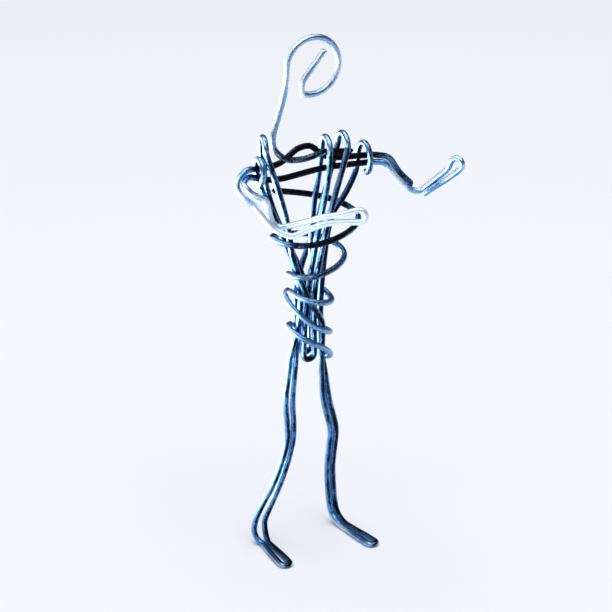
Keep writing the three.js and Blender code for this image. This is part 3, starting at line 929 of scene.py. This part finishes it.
    def part(self) -> list[bpy.types.Object]:
        """Parts the wire, closes the ends and hangs each piece that crosses no joint on its body.

        Returns:
            The finished pieces.
        """
        cuts = self._cuts()
        if len(cuts) != len(self.plan.pieces):
            raise ValueError(f"{self.plan.name} makes {len(cuts)} pieces, not {len(self.plan.pieces)}")
        mesh = self.whole.data
        corners = self.rings.shape[1]
        mark = mesh.attributes.new("cut", "INT", "FACE")
        firsts = np.array([min(v // corners for v in face.vertices) for face in mesh.polygons])
        starts = np.array([cut.first for cut in cuts])
        mark.data.foreach_set("value", np.searchsorted(starts, firsts, side="right") - 1)
        split = [self._split_off(number) for number in range(len(cuts) - 1, 0, -1)]
        pieces = [self.whole, *reversed(split)]
        for piece, name, cut in zip(pieces, self.plan.pieces, cuts):
            self._finish(piece, name)
            self._hang(piece, cut)
        return pieces

    def _cuts(self) -> list[Cut]:
        """Where the wire is parted, so that no piece crosses two joints.

        Returns:
            The stretches, in order.
        """
        body_of = {n: body for body, nodes in frame["record"]["behaviour"]["bodies"].items() for n in nodes}
        joint_of = {frozenset((j["parent"], j["child"])): j["name"] for j in frame["joints"]}
        bodies = [body_of[n] for n in self.plan.nodes]
        bends = [joint_of[frozenset(pair)] for pair in zip(bodies, bodies[1:])]
        stops = [0]
        reach = round(self.end_reach / self.step)
        for (first, last), before, after in zip(self.spans[1:-1], bends, bends[1:]):
            if before == after:
                continue
            if (last - first) * self.step > self.long_node:
                stops += [first + reach, last - reach]
            else:
                stops.append((first + last) // 2)
        stops.append(len(self.path) - 1)
        made = []
        for first, last in zip(stops, stops[1:]):
            inside = [k for k, (a, b) in enumerate(self.spans) if a < last and b > first]
            crossed = dict.fromkeys(bends[k] for k in inside[:-1])
            made.append(Cut(first, last, tuple(self.plan.nodes[k] for k in inside), tuple(crossed)))
        return made

    def _split_off(self, number: int) -> bpy.types.Object:
        """Separates the faces of one cut into an object of their own.

        Args:
            number: The cut.

        Returns:
            The new object.
        """
        before = set(bpy.data.objects)
        mesh = self.whole.data
        select_only(self.whole)
        chosen = np.zeros(len(mesh.polygons), np.int32)
        mesh.attributes["cut"].data.foreach_get("value", chosen)
        bpy.ops.object.mode_set(mode="EDIT")
        bpy.ops.mesh.select_mode(type="FACE")
        bpy.ops.mesh.select_all(action="DESELECT")
        bpy.ops.object.mode_set(mode="OBJECT")
        mesh.polygons.foreach_set("select", chosen == number)
        bpy.ops.object.mode_set(mode="EDIT")
        bpy.ops.mesh.separate(type="SELECTED")
        bpy.ops.object.mode_set(mode="OBJECT")
        return (set(bpy.data.objects) - before).pop()

    def _finish(self, piece: bpy.types.Object, name: str) -> None:
        """Closes a piece's open ends and smooths it.

        Args:
            piece: The piece.
            name: Its name.
        """
        piece.name = name
        piece.data.name = name
        select_only(piece)
        bpy.ops.object.mode_set(mode="EDIT")
        bpy.ops.mesh.select_mode(type="EDGE")
        bpy.ops.mesh.select_all(action="DESELECT")
        bpy.ops.mesh.select_non_manifold()
        bpy.ops.mesh.fill_holes(sides=0)
        bpy.ops.mesh.select_all(action="SELECT")
        bpy.ops.mesh.normals_make_consistent(inside=False)
        bpy.ops.object.mode_set(mode="OBJECT")
        bpy.ops.object.shade_smooth_by_angle(angle=self.smooth_angle)
        piece.data.attributes.remove(piece.data.attributes["cut"])

    def _hang(self, piece: bpy.types.Object, cut: Cut) -> None:
        """Hides the nodes that a piece stands for, and makes it follow its body when it crosses no joint; a
        piece that crosses a joint stays where it is.

        Args:
            piece: The piece.
            cut: Its stretch of the wire.
        """
        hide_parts(*cut.nodes)
        if cut.joints:
            joint = next(j for j in frame["joints"] if j["name"] == cut.joints[0])
            middle, ahead = self._way_through(joint, cut)
            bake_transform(piece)
        else:
            bodies = frame["record"]["behaviour"]["bodies"]
            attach(piece, next(body for body, nodes in bodies.items() if cut.nodes[0] in nodes))
        LOG.info("%s stands for %s", piece.name, ", ".join(cut.nodes))

    def _way_through(self, joint: Mapping[str, Any], cut: Cut) -> tuple[Vector, Vector]:
        """Where a piece goes through a joint, and the direction that parts its two sides best.

        A piece that runs straight is parted along its own direction. For one that curls back at the joint,
        directions all round are tried. The best is the one that gives each ring about the share of the turn
        that its distance from the bend along the wire asks for, and leaves both ends to their own bodies.

        Args:
            joint: The joint.
            cut: The piece's stretch.

        Returns:
            The middle of the bend, and the unit direction from the parent's side to the child's.
        """
        child = frame["record"]["behaviour"]["bodies"][joint["child"]]
        moved = np.zeros(len(self.path), bool)
        for (first, last), node in zip(self.spans, self.plan.nodes):
            moved[first:last + 1] = node in child
        rings = np.arange(cut.first, cut.last + 1)
        bends = cut.first + np.flatnonzero(np.diff(moved[rings].astype(int)))
        away = np.abs(rings[:, None] - bends).min(axis=1) * self.step
        wanted = self._turned(np.where(moved[rings], away, -away))[:, None]
        middle = self.path[bends].mean(axis=0)
        ways = self._ways(bends, moved)
        ahead = (self.path[rings] - middle) @ ways.T
        ends = [0, -1]
        lag = np.where(moved[rings[ends]], 1, -1)[:, None] * self._end_reaches(rings, ways)
        worst = np.maximum(
            np.abs(self._turned(ahead) - wanted).max(axis=0),
            np.abs(self._turned(ahead[ends] - lag) - wanted[ends]).max(axis=0),
        )
        worst[0] -= self.straight_on
        return Vector(middle), Vector(ways[worst.argmin()])

    def _turned(self, ahead: np.ndarray) -> np.ndarray:
        """How much of a bend's turn a point takes.

        Args:
            ahead: How far it is beyond the bend's middle.

        Returns:
            The shares, from 0 before the bend to 1 beyond it.
        """
        share = np.clip((ahead / self.bend_half + 1) / 2, 0, 1)
        return share ** 2 * (3 - 2 * share)

    def _ways(self, bends: np.ndarray, moved: np.ndarray) -> np.ndarray:
        """Directions in which a bend could be parted.

        Args:
            bends: The last ring before each bend.
            moved: Whether each ring is on the child's side.

        Returns:
            Unit directions: the wire's own first, and then others spread evenly all round.
        """
        reach = round(self.bend_half / self.step)
        total = np.zeros(3)
        for bend in bends:
            way = self.path[min(bend + reach, len(self.path) - 1)] - self.path[max(bend - reach, 0)]
            total += way / np.linalg.norm(way) * (1 if moved[bend + 1] else -1)
        number = np.arange(self.ways_tried) + 0.5
        height = 1 - 2 * number / self.ways_tried
        flat = np.sqrt(1 - height ** 2)
        turn = number * GOLDEN_ANGLE
        spread = np.column_stack([flat * np.cos(turn), flat * np.sin(turn), height])
        return np.vstack([total / np.linalg.norm(total), spread])

    def _end_reaches(self, rings: np.ndarray, ways: np.ndarray) -> np.ndarray:
        """How far a piece's two end rings reach from their middles.

        Args:
            rings: The piece's rings.
            ways: The unit directions in which they are measured.

        Returns:
            A row for each end, with a reach for each direction.
        """
        along = np.diff(self.path[rings[[0, 1, -2, -1]]], axis=0)[::2]
        along /= np.linalg.norm(along, axis=1)[:, None]
        return self.diameter / 2 * np.sqrt(np.clip(1 - (along @ ways.T) ** 2, 0, 1))


@dataclass(frozen=True)
class Lamp:
    """A soft lamp, placed as the camera sees it.

    Attributes:
        name: Its name.
        place: To the right of what the camera looks at, towards the camera, and up from the floor.
        size: Its width and height.
        power: In watts.
        colour: Its light's colour.
        faces_up: Whether it lies face up, and doesn't face the figure.
    """

    name: str
    place: Triple
    size: Pair
    power: float
    colour: Colour
    faces_up: bool = False


LAMPS = (
    Lamp("ceiling", (0.0, 0.1, 1.3), (2.0, 2.0), 27.6, (0.985, 0.99, 1.0)),
    Lamp("bounce", (-0.265, 0.05, 0.001), (0.375, 0.5), 8.0, (0.97, 0.99, 1.0), faces_up=True),
)


@dataclass
class Studio:
    """A pale floor, soft lamps and the camera.

    Attributes:
        target: What the camera looks at.
        azimuth: Of the camera, in degrees.
        elevation: Of the camera, in degrees.
        distance: From the camera to what it looks at.
        lens: Focal length in millimetres.
        sensor: The width of the camera's sensor in millimetres.
        nearest: Nothing nearer to the camera than this is seen.
        pale: The floor's colour.
        floor_roughness: The floor's roughness.
        floor_half: Half the floor's side.
        floor_drop: How far the floor lies under the feet.
        room: The room's colour.
    """

    target: Vector = field(default_factory=lambda: Vector((-5.82, 5.11, 53.6)) * MM)
    azimuth: float = -30
    elevation: float = 22
    distance: float = 520 * MM
    lens: float = 149.9
    sensor: float = 36
    nearest: float = 1 * MM
    pale: Colour = (0.92, 0.93, 0.98)
    floor_roughness: float = 0.6
    floor_half: float = 6.0
    floor_drop: float = 0.01 * MM
    room: Colour = (0.1, 0.102, 0.11)

    def build(self) -> None:
        """Makes the camera, the floor, the lamps and the world."""
        self._camera()
        self._floor()
        for lamp in LAMPS:
            self._hang(lamp)
        self._world()

    def _seen(self, right: float, towards: float, up: float) -> Vector:
        """A place given as the camera sees it.

        Args:
            right: To the right of what the camera looks at.
            towards: Towards the camera, along the floor.
            up: From the floor.

        Returns:
            The place in the frame.
        """
        turn = math.radians(self.azimuth)
        across = Vector((math.cos(turn), math.sin(turn), 0))
        near = Vector((math.sin(turn), -math.cos(turn), 0))
        return Vector((self.target.x, self.target.y, up)) + across * right + near * towards

    def _camera(self) -> None:
        """Makes the camera and looks through it."""
        tilt = math.radians(self.elevation)
        height = self.target.z + self.distance * math.sin(tilt)
        place = self._seen(0, self.distance * math.cos(tilt), height)
        deselect_all()
        bpy.ops.object.camera_add(location=place)
        camera = bpy.context.object
        camera.rotation_euler = (self.target - place).to_track_quat("-Z", "Y").to_euler()
        camera.data.lens = self.lens
        camera.data.sensor_width = self.sensor
        camera.data.clip_start = self.nearest
        bpy.context.scene.camera = camera

    def _floor(self) -> None:
        """Makes the pale floor."""
        deselect_all()
        bpy.ops.mesh.primitive_plane_add(size=2 * self.floor_half, location=(0, 0, -self.floor_drop))
        floor = bpy.context.object
        floor.name = "floor"
        shader = Shader(bpy.data.materials.new("pale_floor"))
        shader.feed(
            shader.surface,
            {"Base Color": self.pale, "Roughness": self.floor_roughness, "Specular IOR Level": 0.0},
        )
        floor.data.materials.append(shader.owner)

    def _hang(self, lamp: Lamp) -> None:
        """Hangs a soft lamp.

        Args:
            lamp: The lamp.
        """
        place = self._seen(*lamp.place)
        away = Vector((0, 0, -1)) if lamp.faces_up else place - self.target
        deselect_all()
        bpy.ops.object.light_add(type="AREA", location=place)
        made = bpy.context.object
        made.name = lamp.name
        made.data.shape = "RECTANGLE"
        made.data.size, made.data.size_y = lamp.size
        made.data.energy = lamp.power
        made.data.color = lamp.colour
        made.rotation_euler = away.to_track_quat("Z", "Y").to_euler()
        if lamp.faces_up:
            made.rotation_euler.z += math.radians(self.azimuth)

    def _world(self) -> None:
        """Makes the dim room."""
        world = bpy.data.worlds.new("room")
        bpy.context.scene.world = world
        shader = Shader(world)
        shader.feed(shader.surface, {"Color": self.room})


def main() -> None:
    """Builds the studio and the wires."""
    logging.basicConfig(level=logging.INFO, format="%(name)s: %(message)s")
    bpy.context.scene.view_settings.view_transform = "Standard"
    Studio().build()
    materials = {finish.slot: finish.material() for finish in FINISHES}
    for plan in WIRES:
        wire = Wire(plan)
        wire.build()
        wire.dress(materials[plan.finish])
        pieces = wire.part()
        LOG.info("%s is made of %d pieces", plan.name, len(pieces))
    bpy.context.view_layer.update()


if __name__ == "__main__":
    main()
